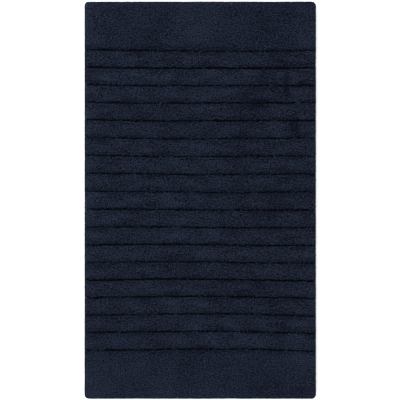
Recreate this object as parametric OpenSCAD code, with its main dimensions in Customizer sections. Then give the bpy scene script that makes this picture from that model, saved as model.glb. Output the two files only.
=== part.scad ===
// Tufted cotton bath mat. Cut pile in ribs runs across the mat, between a plain band of pile at each end,
// on a woven backing cloth. Underneath lie an anti-slip coat, a mitred hem tape with its two rows of
// stitching, and a blank care label.
// Millimetres. +Z is up, +Y runs along the mat towards its head end, and the origin is on the floor under
// the middle of the mat.

/* [Mat] */
// Width of the mat, along the ribs
mat_w = 533.4; // [440:0.1:650]
// Length of the mat, across the ribs
mat_l = 914.4; // [760:0.1:1120]
// Radius of the mat's corners, seen from above
corner_r = 10; // [8:0.5:13]

/* [Pile] */
// Height of the pile above the backing cloth
pile_h = 15; // [12:0.5:24]
// Number of ribs between the two end bands
rib_count = 17; // [14:1:20]
// Distance from one groove to the next
rib_pitch = 40.64; // [33:0.01:50]
// Width of the groove between two ribs
groove_w = 3; // [2:0.1:5]
// How far the rounded shoulder of the pile reaches in from its edge
shoulder_w = 7; // [4:0.5:9]
// How far the pile's shoulder drops at its edge
shoulder_drop = 4; // [2:0.5:6]
// How far the pile spreads out past the backing cloth
pile_spread = 2.5; // [1:0.1:4]

/* [Course of the grooves] */
// How far a groove close to the mat's end bows
bow = 5.5; // [0:0.5:8]
// How far a groove slants at the mat's sides
skew = 1; // [0:0.5:3]
// How far whole grooves drift from their even spacing
drift = 1.3; // [0:0.1:2]
// Height of the long wave that runs along a groove
wave = 0.8; // [0:0.1:2]

/* [Backing] */
// Thickness of the woven backing cloth
cloth_t = 1; // [0.6:0.1:2]
// Thickness of the anti-slip coat, and of the hem tape that lies level with it
coat_t = 1; // [0.8:0.1:2]

/* [Hem] */
// Width of the hem tape
tape_w = 22; // [16:0.5:30]
// Distance from the tape's edge to its stitching
stitch_inset = 3; // [2:0.5:4]
// Thickness of the sewing thread
thread_d = 0.5; // [0.4:0.1:0.7]

/* [Care label] */
// Length of the care label, along the foot hem
label_l = 50; // [35:1:80]
// Width of the care label
label_w = 30; // [20:1:45]
// Thickness of the care label
label_t = 0.4; // [0.3:0.1:0.6]
// Distance from the hem tape to the care label
label_gap = 4; // [2:1:20]

/* [Hidden] */
// Degrees that the drift and the wave turn from one groove to the next, where the drift starts, and how many
// waves fit in the mat's width
groove_turn = 28;
drift_start = 68;
wave_count = 1.1;
// Cross-sections along a pile strip, between its corners and at each corner
mid_sections = 12;
corner_angles = [0, 30, 60, 90];
// The label's stitching: its distance from the label's edge and the thread's thickness
label_inset = 1.5;
label_thread_d = 0.25;
curve_fn = 48;

half_w = mat_w / 2;
half_l = mat_l / 2;
under_z = coat_t;
pile_z = coat_t + cloth_t;
top_z = pile_z + pile_h;
cloth_w = mat_w - 2 * pile_spread;
cloth_l = mat_l - 2 * pile_spread;
cloth_r = corner_r - pile_spread;
coat_w = cloth_w - 2 * tape_w;
coat_l = cloth_l - 2 * tape_w;
label_x = coat_w / 2 - label_gap - label_l / 2;
label_y = label_gap + label_w / 2 - coat_l / 2;

navy = [0.11, 0.13, 0.19];
deep_navy = [0.08, 0.10, 0.15];
tape_navy = [0.13, 0.15, 0.22];
latex_grey = [0.62, 0.63, 0.62];
thread_blue = [0.22, 0.25, 0.34];
label_white = [0.90, 0.90, 0.88];

function rib_name(i) = str("pile_rib_", i < 10 ? "0" : "", i);

// ---- Course of the grooves ----

// Groove k, counted from the foot band, would lie here if it were straight
function groove_y(k) = (k - rib_count / 2) * rib_pitch;

// The cloth's bow and skew, and the drift and wave of its tufted rows, move groove k by this much at x
function groove_shift(k, x) =
    let (u = x / half_w, v = groove_y(k) / half_l)
    bow * v * (u * u - 1 / 3)
    - skew * u
    + drift * sin(groove_turn * k + drift_start)
    + wave * sin(180 * wave_count * u + groove_turn * k);

// The mat's end, with its rounded corner, at x
function end_y(x) =
    let (past = max(0, abs(x) - (half_w - corner_r)))
    half_l - corner_r + sqrt(max(0, corner_r * corner_r - past * past));

// Lower and upper edge of pile strip k at x: strip 0 is the foot band and strip rib_count + 1 the head band
function strip_low(k, x) = k == 0 ? -end_y(x) : groove_y(k - 1) + groove_shift(k - 1, x) + groove_w / 2;
function strip_high(k, x) = k == rib_count + 1 ? end_y(x) : groove_y(k) + groove_shift(k, x) - groove_w / 2;

// ---- Pile ----

// How far the crown lies under the pile's full height at x, where it rounds over to the mat's side
function side_drop(x) =
    let (t = 1 - min(1, (half_w - abs(x)) / shoulder_w))
    shoulder_drop * (1 - sqrt(max(0, 1 - t * t)));

// Cross-section of a pile strip at x, counter-clockwise seen from +X: foot, shoulders and crown
function strip_section(k, x) =
    let (low = strip_low(k, x), high = strip_high(k, x), crown = top_z - side_drop(x))
    [
        [x, low, pile_z],
        [x, high, pile_z],
        [x, high, crown - shoulder_drop],
        [x, high - shoulder_w, crown],
        [x, low + shoulder_w, crown],
        [x, low, crown - shoulder_drop]
    ];

// Where the cross-sections stand: close together round the corners, and evenly between them
corner_xs = [for (a = corner_angles) half_w - corner_r * (1 - sin(a))];
section_xs = concat(
    [for (i = [len(corner_xs) - 1:-1:0]) -corner_xs[i]],
    [for (i = [1:mid_sections]) (half_w - corner_r) * (2 * i / (mid_sections + 1) - 1)],
    corner_xs
);

// One strip of pile: its cross-sections joined by triangles, with a flat face at each side of the mat
module pile_strip(k) {
    rings = [for (x = section_xs) strip_section(k, x)];
    n = len(rings[0]);
    last = (len(rings) - 1) * n;
    color(navy)
    polyhedron(
        points = [for (ring = rings) each ring],
        faces = concat(
            [[for (j = [0:n - 1]) j]],
            [for (i = [0:len(rings) - 2], j = [0:n - 1])
                let (a = i * n + j, b = i * n + (j + 1) % n)
                each [[a, a + n, b + n], [a, b + n, b]]],
            [[for (j = [n - 1:-1:0]) last + j]]
        ),
        convexity = 4
    );
}

// ---- Backing ----

module rounded_outline(w, l, r) {
    square([w, l - 2 * r], center = true);
    square([w - 2 * r, l], center = true);
    for (x = [-1, 1], y = [-1, 1])
        translate([x * (w / 2 - r), y * (l / 2 - r)])
            circle(r = r, $fn = curve_fn);
}

module backing_cloth() {
    color(deep_navy)
    translate([0, 0, under_z])
    linear_extrude(cloth_t)
        rounded_outline(cloth_w, cloth_l, cloth_r);
}

// The coat fills the frame of hem tape, with a seat that the care label lies in
module anti_slip_coat() {
    color(latex_grey)
    difference() {
        linear_extrude(coat_t)
            square([coat_w, coat_l], center = true);
        label_body();
    }
}

// ---- Hem ----

// A row of stitching goes round the mat at this distance from the backing cloth's edge
module stitch_row(inset) {
    r = max(cloth_r - inset, thread_d * 2);
    linear_extrude(thread_d)
    difference() {
        rounded_outline(cloth_w - 2 * inset, cloth_l - 2 * inset, r);
        rounded_outline(cloth_w - 2 * inset - 2 * thread_d, cloth_l - 2 * inset - 2 * thread_d, r - thread_d);
    }
}

module outer_stitches() {
    stitch_row(stitch_inset);
}

module inner_stitches() {
    stitch_row(tape_w - stitch_inset - thread_d);
}

// A length of hem tape between its two mitres, given for the side at +x or +y of a w by l cloth
module tape_length(w, l) {
    polygon([
        [w / 2, -l / 2],
        [w / 2, l / 2],
        [w / 2 - tape_w, l / 2 - tape_w],
        [w / 2 - tape_w, tape_w - l / 2]
    ]);
}

// The tape's stitching pulls down into it, so that the tape stays flat on the floor
module hem_tape(turn) {
    across = abs(turn) == 90;
    color(tape_navy)
    difference() {
        linear_extrude(coat_t)
        intersection() {
            rounded_outline(cloth_w, cloth_l, cloth_r);
            rotate(turn)
                tape_length(across ? cloth_l : cloth_w, across ? cloth_w : cloth_l);
        }
        outer_stitches();
        inner_stitches();
    }
}

// ---- Care label ----

module label_body() {
    translate([label_x - label_l / 2, label_y - label_w / 2, 0])
        cube([label_l, label_w, label_t]);
}

module label_stitches() {
    translate([label_x, label_y, 0])
    linear_extrude(label_thread_d)
    difference() {
        square([label_l - 2 * label_inset, label_w - 2 * label_inset], center = true);
        square([
            label_l - 2 * label_inset - 2 * label_thread_d,
            label_w - 2 * label_inset - 2 * label_thread_d
        ], center = true);
    }
}

module care_label() {
    color(label_white)
    difference() {
        label_body();
        label_stitches();
    }
}

// ---- Nodes ----

pile_strip(0);  // pile_foot_band
for (i = [1:rib_count])
    pile_strip(i);
pile_strip(rib_count + 1);  // pile_head_band
backing_cloth();
anti_slip_coat();
hem_tape(180);  // hem_tape_left
hem_tape(0);  // hem_tape_right
hem_tape(90);  // hem_tape_head
hem_tape(-90);  // hem_tape_foot
color(thread_blue) outer_stitches();  // hem_thread_outer
color(thread_blue) inner_stitches();  // hem_thread_inner
care_label();
color(thread_blue) label_stitches();  // care_label_thread
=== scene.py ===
"""Looks of a tufted cotton bath mat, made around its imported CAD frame.

The mat lies on the floor with its ribs across it. Every strip of pile is made of separate tufts that stand
in rows on the backing cloth and lean with the nap. Under the cloth lie the anti-slip coat, the mitred hem
tape, its stitches and a blank care label. All lengths are in metres, in the frame of the CAD model.
"""

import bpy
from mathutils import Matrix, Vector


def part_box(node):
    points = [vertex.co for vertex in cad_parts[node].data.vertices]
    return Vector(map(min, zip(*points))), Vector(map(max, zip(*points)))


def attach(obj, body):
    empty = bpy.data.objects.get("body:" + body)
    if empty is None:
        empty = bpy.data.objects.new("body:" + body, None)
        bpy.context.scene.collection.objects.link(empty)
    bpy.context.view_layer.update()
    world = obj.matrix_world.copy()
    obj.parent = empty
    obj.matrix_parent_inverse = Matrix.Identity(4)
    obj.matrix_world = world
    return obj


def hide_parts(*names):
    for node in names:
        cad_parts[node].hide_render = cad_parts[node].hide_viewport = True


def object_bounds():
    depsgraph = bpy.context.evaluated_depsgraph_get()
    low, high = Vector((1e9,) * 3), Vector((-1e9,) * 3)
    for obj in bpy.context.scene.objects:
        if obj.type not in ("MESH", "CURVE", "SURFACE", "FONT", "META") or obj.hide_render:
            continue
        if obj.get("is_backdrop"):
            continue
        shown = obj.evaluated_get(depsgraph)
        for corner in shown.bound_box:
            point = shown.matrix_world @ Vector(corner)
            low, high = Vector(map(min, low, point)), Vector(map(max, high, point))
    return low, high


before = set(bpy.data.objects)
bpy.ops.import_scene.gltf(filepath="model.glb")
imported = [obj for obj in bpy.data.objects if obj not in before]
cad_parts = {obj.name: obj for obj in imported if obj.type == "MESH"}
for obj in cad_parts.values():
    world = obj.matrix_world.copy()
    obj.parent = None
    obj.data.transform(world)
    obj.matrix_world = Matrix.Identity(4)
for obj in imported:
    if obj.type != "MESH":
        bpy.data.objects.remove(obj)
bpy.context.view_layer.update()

import logging
import math
from dataclasses import dataclass, field
from enum import Enum, IntEnum

import bpy
import numpy as np
from mathutils import Vector

log = logging.getLogger("bath_mat")

MM = 0.001
TINY = 1e-9
# Places in a body's cell of the bake map, whose side is 1
RING_REACH = 0.36
ROOT_REACH = 0.48
END_INSET = 0.05
END_SIZE = 0.03
# The longest and the shortest wave of a random field, as shares of its usual number of waves
WAVE_NUMBERS = (0.7, 1.4)
FIBRE_DETAIL = 3.0
FIBRE_CURL = 0.8
WEAVE_CONTRAST = 0.6
BODY = "root"
BAKE_MAP = "OFBake"
Array = np.ndarray
Colour = tuple[float, float, float]


class Seed(IntEnum):
    """Where each random field starts, so that every run draws the same mat."""

    SWIRL_ACROSS = 11
    CLUMP_ACROSS = 12
    SWIRL_ALONG = 13
    CLUMP_ALONG = 14
    CLOUDS = 21
    STREAKS = 22
    TONE_CLUMPS = 23
    LOW_EDGE = 31
    HIGH_EDGE = 32
    OPENING = 33
    GROOVE_LEAN = 34
    PILE_HEIGHT = 41
    CLOTH_COCKLE = 51
    LABEL_COCKLE = 61
    RIDGE_SWAY = 71
    COAT_THICKNESS = 72
    FIRST_STRIP = 1000


# ----------------------------------------------------------------------------------------------------
# Meshes
# ----------------------------------------------------------------------------------------------------


@dataclass
class Shell:
    """The points and faces of one or more closed bodies.

    Faces are kept in one array for each number of corners, with a bake-map place for each corner if the shell
    has such a map, and values holds one number a point under each attribute's name.
    """

    points: Array
    faces: list[Array]
    places: list[Array] | None = None
    values: dict[str, Array] = field(default_factory=dict)

    @staticmethod
    def joined(shells: list["Shell"]) -> "Shell":
        """Puts several shells that have the same maps and values into one.

        Args:
            shells: The shells, in order.

        Returns:
            One shell with all their points and faces.
        """
        starts = np.cumsum([0] + [len(s.points) for s in shells[:-1]])
        mapped = shells[0].places is not None
        return Shell(
            points=np.concatenate([s.points for s in shells]),
            faces=[f + start for s, start in zip(shells, starts) for f in s.faces],
            places=[p for s in shells for p in s.places] if mapped else None,
            values={name: np.concatenate([s.values[name] for s in shells]) for name in shells[0].values},
        )

    def mesh(self, name: str) -> bpy.types.Mesh:
        """Makes Blender's mesh of this shell, shaded smooth.

        Args:
            name: The mesh's name.

        Returns:
            The new mesh.
        """
        counts = np.concatenate([np.full(len(f), f.shape[1]) for f in self.faces])
        made = bpy.data.meshes.new(name)
        made.vertices.add(len(self.points))
        made.vertices.foreach_set("co", self.points.astype(np.float32).ravel())
        made.loops.add(int(counts.sum()))
        corners = np.concatenate([f.ravel() for f in self.faces])
        made.loops.foreach_set("vertex_index", corners.astype(np.int32))
        made.polygons.add(len(counts))
        starts = np.concatenate([[0], np.cumsum(counts)[:-1]])
        made.polygons.foreach_set("loop_start", starts.astype(np.int32))
        made.polygons.foreach_set("use_smooth", np.ones(len(counts), bool))
        for key, numbers in self.values.items():
            made.attributes.new(key, "FLOAT", "POINT").data.foreach_set("value", numbers.astype(np.float32))
        made.update(calc_edges=True)
        if self.places is not None:
            layer = made.uv_layers.new(name=BAKE_MAP)
            flat = np.concatenate([p.reshape(-1, 2) for p in self.places])
            layer.data.foreach_set("uv", flat.astype(np.float32).ravel())
        made.validate()
        return made


def add_piece(name: str, shell: Shell, look: bpy.types.Material, slot: str, *nodes: str) -> bpy.types.Object:
    """Puts a shell into the scene as one piece that rides on the mat.

    Args:
        name: The piece's name.
        shell: Its points and faces.
        look: Its material.
        slot: Not used.
        nodes: The CAD nodes that it stands for.

    Returns:
        The new object, at the origin.
    """
    mesh = shell.mesh(name)
    mesh.materials.append(look)
    piece = bpy.data.objects.new(name, mesh)
    bpy.context.scene.collection.objects.link(piece)
    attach(piece, BODY)
    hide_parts(*nodes)
    triangles = sum(len(f) * (f.shape[1] - 2) for f in shell.faces)
    log.info("%s: %d points, %d triangles", name, len(shell.points), triangles)
    return piece


@dataclass(frozen=True)
class CellMap:
    """A bake map that gives each of many small bodies a square cell of its own, in rows."""

    cells: int

    def places(self, which: Array, x: Array, y: Array) -> Array:
        """Turns places in cells into places on the map.

        Args:
            which: The number of each place's cell.
            x: How far right in its cell each place is, from 0 to 1.
            y: How far up in its cell, from 0 to 1.

        Returns:
            The map's places, with a last axis of 2.
        """
        across = math.ceil(math.sqrt(self.cells))
        u, v = (which % across + x) / across, (which // across + y) / across
        return np.stack(np.broadcast_arrays(u, v), -1)


def stacked_rings(
    rings: Array, tips: Array | None, roots: Array | None, cell_map: CellMap, first_cell: int = 0
) -> Shell:
    """Makes closed bodies, each a stack of rings whose walls are quads.

    On the bake map a body is a disc in its cell: the last ring lies inside, the first outside it, and the
    faces that close to the root lie round the first ring. A flat end is small, in the cell's corner.

    Args:
        rings: Points of the rings, by body, ring and place round it, turning left about the way up the stack.
        tips: A point for each body that its last ring closes to, or None for a flat end.
        roots: A point for each body that its first ring closes to, or None for a flat end.
        cell_map: The bake map.
        first_cell: The first body's cell.

    Returns:
        The shell of all bodies.
    """
    bodies, levels, sides = rings.shape[:3]
    points = [rings.reshape(bodies, levels * sides, 3)]
    points += [ends[:, None] for ends in (tips, roots) if ends is not None]
    size = sum(p.shape[1] for p in points)
    turn = np.arange(sides) / sides * math.tau
    reach = np.linspace(RING_REACH, RING_REACH / levels, levels)[:, None]
    disc = np.stack([0.5 + reach * np.cos(turn), 0.5 + reach * np.sin(turn)], -1).reshape(-1, 2)
    corner = END_INSET + END_SIZE * np.stack([np.cos(turn), np.sin(turn)], -1)
    low = np.arange((levels - 1) * sides)
    after = low // sides * sides + (low + 1) % sides
    walls = np.stack([low, after, after + sides, low + sides], -1)
    parts = [(walls, disc[walls])]
    first = np.arange(sides)
    follow = (first + 1) % sides
    last = first + (levels - 1) * sides
    if tips is None:
        parts.append((last[None], (1 - corner)[None]))
    else:
        tip = np.full(sides, levels * sides)
        middle = np.full((sides, 2), 0.5)
        faces = np.stack([last, follow + last[0], tip], -1)
        parts.append((faces, np.stack([disc[last], disc[follow + last[0]], middle], 1)))
    if roots is None:
        parts.append((first[::-1][None], corner[::-1][None]))
    else:
        root = np.full(sides, size - 1)
        half_on = turn + math.pi / sides
        outer = 0.5 + ROOT_REACH * np.stack([np.cos(half_on), np.sin(half_on)], -1)
        parts.append((np.stack([follow, first, root], -1), np.stack([disc[follow], disc[first], outer], 1)))
    starts = np.arange(bodies)[:, None, None] * size
    cell = (first_cell + np.arange(bodies))[:, None, None]
    faces = [(f[None] + starts).reshape(-1, f.shape[1]) for f, place in parts]
    places = [cell_map.places(cell, place[..., 0], place[..., 1]) for f, place in parts]
    return Shell(
        np.concatenate(points, 1).reshape(-1, 3), faces, [p.reshape(-1, p.shape[-2], 2) for p in places]
    )


def closed_sheet(upper: Array, lower: Array) -> Shell:
    """Makes a closed sheet from two grids of points that lie over each other, joined round their edges.

    Args:
        upper: The upper side's points by row and column, turning left from rows to columns seen from above.
        lower: The lower side's points, in the same order.

    Returns:
        The sheet's shell.
    """
    rows, columns = upper.shape[:2]
    at = np.arange(rows * columns).reshape(rows, columns)
    top = np.stack([at[:-1, :-1], at[1:, :-1], at[1:, 1:], at[:-1, 1:]], -1).reshape(-1, 4)
    bottom = top[:, ::-1] + rows * columns
    rim = np.concatenate([at[:-1, 0], at[-1, :-1], at[:0:-1, -1], at[0, :0:-1]])
    after = np.roll(rim, -1)
    walls = np.stack([after, rim, rim + rows * columns, after + rows * columns], -1)
    return Shell(np.concatenate([upper.reshape(-1, 3), lower.reshape(-1, 3)]), [top, bottom, walls])


@dataclass(frozen=True)
class Waves:
    """A smooth random field of mean 0 and spread 1: plane waves of about one length, summed.

    With a stretch, its features are that many times as long across the mat as along it.
    """

    seed: int
    length: float
    stretch: float = 1.0
    count: int = 28

    def at(self, x: Array, y: Array) -> Array:
        """The field at each place.

        Args:
            x: Places across the mat.
            y: Places along the mat.

        Returns:
            The sum of the waves' cosines, over the root of half their number.
        """
        draw = np.random.default_rng(self.seed)
        heading, start = draw.uniform(0, math.tau, (2, self.count))
        number = math.tau / self.length * draw.uniform(*WAVE_NUMBERS, self.count)
        across, along = number * np.cos(heading) / self.stretch, number * np.sin(heading)
        phase = x[..., None] * across + y[..., None] * along + start
        return np.cos(phase).sum(-1) / math.sqrt(self.count / 2)


# ----------------------------------------------------------------------------------------------------
# Finishes
# ----------------------------------------------------------------------------------------------------


class NodeBench:
    """Adds nodes to one material or node group and links them.

    A mix node has a set of sockets for each kind of value, so its colour sockets are known by number.
    """

    COLOUR_A = 6
    COLOUR_B = 7
    MIXED_COLOUR = 2

    def __init__(self, tree: bpy.types.NodeTree) -> None:
        """Takes the tree that the nodes go into."""
        self.tree = tree

    def add(self, kind: str, **settings: object) -> bpy.types.Node:
        """Adds a node.

        Args:
            kind: The node's type name, such as "ShaderNodeTexNoise".
            settings: Its properties.

        Returns:
            The new node.
        """
        node = self.tree.nodes.new(kind)
        for key, value in settings.items():
            setattr(node, key, value)
        return node

    def feed(self, socket: bpy.types.NodeSocket, source: object) -> None:
        """Links a socket to another one, or sets it to a plain value.

        Args:
            socket: The input socket.
            source: An output socket, or the plain value.
        """
        if isinstance(source, bpy.types.NodeSocket):
            self.tree.links.new(source, socket)
        else:
            socket.default_value = source

    def math(
        self, operation: str, first: object, second: object = 0.0, clamp: bool = False
    ) -> bpy.types.NodeSocket:
        """Works out one operation on numbers.

        Args:
            operation: The operation's name, such as "ADD".
            first: The first number, or a socket.
            second: The second number, or a socket.
            clamp: Whether the result is kept between 0 and 1.

        Returns:
            The result's socket.
        """
        node = self.add("ShaderNodeMath", operation=operation, use_clamp=clamp)
        self.feed(node.inputs[0], first)
        self.feed(node.inputs[1], second)
        return node.outputs[0]

    def mix(self, share: object, first: object, second: object) -> bpy.types.NodeSocket:
        """Mixes two colours.

        Args:
            share: How much of the second colour shows, as a number or a socket.
            first: A colour, or a socket.
            second: A colour, or a socket.

        Returns:
            The mixed colour's socket.
        """
        node = self.add("ShaderNodeMix", data_type="RGBA")
        self.feed(node.inputs["Factor"], share)
        for socket, colour in ((self.COLOUR_A, first), (self.COLOUR_B, second)):
            plain = not isinstance(colour, bpy.types.NodeSocket)
            self.feed(node.inputs[socket], (*colour, 1.0) if plain else colour)
        return node.outputs[self.MIXED_COLOUR]

    def noise(self, where: object, size: float, detail: float = 2.0) -> bpy.types.NodeSocket:
        """Adds smooth noise.

        Args:
            where: The socket that gives each place.
            size: About how large its features are.
            detail: How many finer layers it has.

        Returns:
            The socket of its value, from 0 to 1.
        """
        node = self.add("ShaderNodeTexNoise")
        self.feed(node.inputs["Vector"], where)
        node.inputs["Scale"].default_value = 1.0 / size
        node.inputs["Detail"].default_value = detail
        return node.outputs["Fac"]

    def value(self, name: str) -> bpy.types.NodeSocket:
        """Reads one of the mesh's own values and returns its socket."""
        return self.add("ShaderNodeAttribute", attribute_name=name).outputs["Fac"]

    def bump(self, height: object, distance: float) -> bpy.types.NodeSocket:
        """Turns a height into a normal.

        Args:
            height: The socket of the height, from 0 to 1.
            distance: How much higher 1 stands than 0.

        Returns:
            The normal's socket.
        """
        node = self.add("ShaderNodeBump")
        node.inputs["Strength"].default_value = 1.0
        node.inputs["Distance"].default_value = distance
        self.feed(node.inputs["Height"], height)
        return node.outputs["Normal"]


def group_of(
    name: str, inputs: dict[str, float | None], outputs: list[str]
) -> tuple[NodeBench, bpy.types.Node, bpy.types.Node]:
    """Starts a shader node group.

    Args:
        name: The group's name.
        inputs: Each input's name and first value. One with None takes places, and the others take numbers.
        outputs: The names of its outputs, which are numbers.

    Returns:
        The group's bench, its input node and its output node.
    """
    tree = bpy.data.node_groups.new(name, "ShaderNodeTree")
    for key, value in inputs.items():
        kind = "NodeSocketVector" if value is None else "NodeSocketFloat"
        socket = tree.interface.new_socket(key, in_out="INPUT", socket_type=kind)
        if value is not None:
            socket.default_value = value
    for key in outputs:
        tree.interface.new_socket(key, in_out="OUTPUT", socket_type="NodeSocketFloat")
    bench = NodeBench(tree)
    return bench, bench.add("NodeGroupInput"), bench.add("NodeGroupOutput")


def fibre_group() -> bpy.types.NodeTree:
    """Makes the group "Cotton fibre": loose fibres as curled noise.

    Its Height is the noise, and its Shade swings about a half as far as Contrast says.

    Returns:
        The group, made only once.
    """
    found = bpy.data.node_groups.get("Cotton fibre")
    if found:
        return found
    inputs = {"Place": None, "Size": 0.4 * MM, "Contrast": 0.5}
    bench, given, result = group_of("Cotton fibre", inputs, ["Shade", "Height"])
    scale = bench.math("DIVIDE", 1.0, given.outputs["Size"])
    fine = bench.add("ShaderNodeTexNoise")
    bench.feed(fine.inputs["Vector"], given.outputs["Place"])
    bench.feed(fine.inputs["Scale"], scale)
    fine.inputs["Detail"].default_value = FIBRE_DETAIL
    fine.inputs["Distortion"].default_value = FIBRE_CURL
    swing = bench.math("SUBTRACT", fine.outputs["Fac"], 0.5)
    swing = bench.math("MULTIPLY", swing, given.outputs["Contrast"])
    bench.feed(result.inputs["Shade"], bench.math("ADD", swing, 0.5))
    bench.feed(result.inputs["Height"], fine.outputs["Fac"])
    return bench.tree


class Weave(Enum):
    """How a cloth is woven: the share of a pick by which each warp end shifts the pattern."""

    PLAIN = 0.5
    TWILL = 0.25


def weave_group() -> bpy.types.NodeTree:
    """Makes the group "Weave": over and under of ends and picks, with a Shade and a Height.

    The height is a sine along the ends, brought to between 0 and 1, times a sine across them, and the pattern
    shifts by Step from one end to the next. The shade follows the height.

    Returns:
        The group, made only once.
    """
    found = bpy.data.node_groups.get("Weave")
    if found:
        return found
    inputs = {"Place": None, "Pitch": 1 * MM, "Step": Weave.PLAIN.value}
    bench, given, result = group_of("Weave", inputs, ["Shade", "Height"])
    place = bench.add("ShaderNodeSeparateXYZ")
    bench.feed(place.inputs[0], given.outputs["Place"])
    end = bench.math("DIVIDE", place.outputs["X"], given.outputs["Pitch"])
    pick = bench.math("DIVIDE", place.outputs["Y"], given.outputs["Pitch"])
    shift = bench.math("MULTIPLY", bench.math("FLOOR", end), given.outputs["Step"])
    over = bench.math("SINE", bench.math("MULTIPLY", bench.math("ADD", pick, shift), math.tau))
    yarn = bench.math("ABSOLUTE", bench.math("SINE", bench.math("MULTIPLY", end, math.pi)))
    height = bench.math("MULTIPLY", bench.math("ADD", bench.math("MULTIPLY", over, 0.5), 0.5), yarn)
    bench.feed(result.inputs["Height"], height)
    swing = bench.math("MULTIPLY", height, WEAVE_CONTRAST)
    bench.feed(result.inputs["Shade"], bench.math("ADD", swing, (1 - WEAVE_CONTRAST) / 2))
    return bench.tree


@dataclass(frozen=True)
class Finish:
    """What every finish of the mat shares: a name, how rough it is and how much its fibres shine."""

    name: str
    roughness: float = 0.9
    sheen: float = 0.0
    sheen_roughness: float = 0.5
    sheen_tint: Colour = (1.0, 1.0, 1.0)
    specular: float = 0.2
    rough_swing: float = 0.2

    def shader(self) -> tuple[bpy.types.Material, NodeBench, bpy.types.Node]:
        """Starts the material.

        Returns:
            The material, its bench, and its shader node with the plain values set.
        """
        made = bpy.data.materials.new(self.name)
        made.use_nodes = True
        shader = made.node_tree.nodes["Principled BSDF"]
        shader.inputs["Roughness"].default_value = self.roughness
        shader.inputs["Sheen Weight"].default_value = self.sheen
        shader.inputs["Sheen Roughness"].default_value = self.sheen_roughness
        shader.inputs["Sheen Tint"].default_value = (*self.sheen_tint, 1.0)
        shader.inputs["Specular IOR Level"].default_value = self.specular
        return made, NodeBench(made.node_tree), shader

    @staticmethod
    def fibre(bench: NodeBench, place: object, size: float, contrast: float) -> bpy.types.Node:
        """Places the fibre group.

        Args:
            bench: The material's bench.
            place: The socket that gives each place.
            size: How thick the fibres are.
            contrast: How much they differ in shade.

        Returns:
            The group's node.
        """
        node = bench.add("ShaderNodeGroup", node_tree=fibre_group())
        bench.feed(node.inputs["Place"], place)
        node.inputs["Size"].default_value = size
        node.inputs["Contrast"].default_value = contrast
        return node

    @staticmethod
    def weave(bench: NodeBench, place: object, pitch: float, weave: Weave) -> bpy.types.Node:
        """Places the weave group.

        Args:
            bench: The material's bench.
            place: The socket that gives each place.
            pitch: How far apart the yarns are.
            weave: How they cross.

        Returns:
            The group's node.
        """
        node = bench.add("ShaderNodeGroup", node_tree=weave_group())
        bench.feed(node.inputs["Place"], place)
        node.inputs["Pitch"].default_value = pitch
        node.inputs["Step"].default_value = weave.value
        return node

    def roughen(self, bench: NodeBench, shader: bpy.types.Node, fibre: bpy.types.Node) -> None:
        """Makes the tops of the fibres rougher than the gaps between them.

        Args:
            bench: The material's bench.
            shader: Its shader node.
            fibre: The fibre group's node.
        """
        swing = bench.math("MULTIPLY", fibre.outputs["Height"], self.rough_swing)
        least = self.roughness - self.rough_swing / 2
        bench.feed(shader.inputs["Roughness"], bench.math("ADD", swing, least, clamp=True))


@dataclass(frozen=True)
class CutPile(Finish):
    """Dyed cotton yarn, cut and brushed, its tone set tuft by tuft, with painted shade towards its root."""

    name: str = "navy_cut_pile"
    sheen: float = 0.04
    sheen_roughness: float = 0.5
    sheen_tint: Colour = (0.45, 0.55, 0.85)
    specular: float = 0.03
    # root: painted shade, the dark of the pile's depths, mixed in low on each tuft
    root: Colour = (0.0008, 0.0014, 0.0042)
    deep: Colour = (0.0010, 0.0018, 0.0060)
    light: Colour = (0.0237, 0.0316, 0.0572)
    fibre_size: float = 0.35 * MM
    fibre_run: float = 0.14
    fibre_contrast: float = 2.2
    fibre_relief: float = 0.6 * MM
    root_shade_power: float = 1.6

    def material(self) -> bpy.types.Material:
        """Builds the material from the mesh's tone and rise values and fibres that run up the tufts.
        A low rise mixes in the root colour, as painted shade deep in the pile.

        Returns:
            The material.
        """
        made, bench, shader = self.shader()
        place = bench.add("ShaderNodeVectorMath", operation="MULTIPLY")
        bench.feed(place.inputs[0], bench.add("ShaderNodeTexCoord").outputs["Object"])
        place.inputs[1].default_value = (1.0, 1.0, self.fibre_run)
        fibre = self.fibre(bench, place.outputs[0], self.fibre_size, self.fibre_contrast)
        swing = bench.math("SUBTRACT", fibre.outputs["Shade"], 0.5)
        tone = bench.math("ADD", bench.value("tone"), swing, clamp=True)
        yarn = bench.mix(tone, self.deep, self.light)
        # Painted shade: low on a tuft the colour goes towards the root colour
        rise = bench.math("POWER", bench.value("rise"), self.root_shade_power, clamp=True)
        bench.feed(shader.inputs["Base Color"], bench.mix(rise, self.root, yarn))
        self.roughen(bench, shader, fibre)
        bench.feed(shader.inputs["Normal"], bench.bump(fibre.outputs["Height"], self.fibre_relief))
        return made


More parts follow.
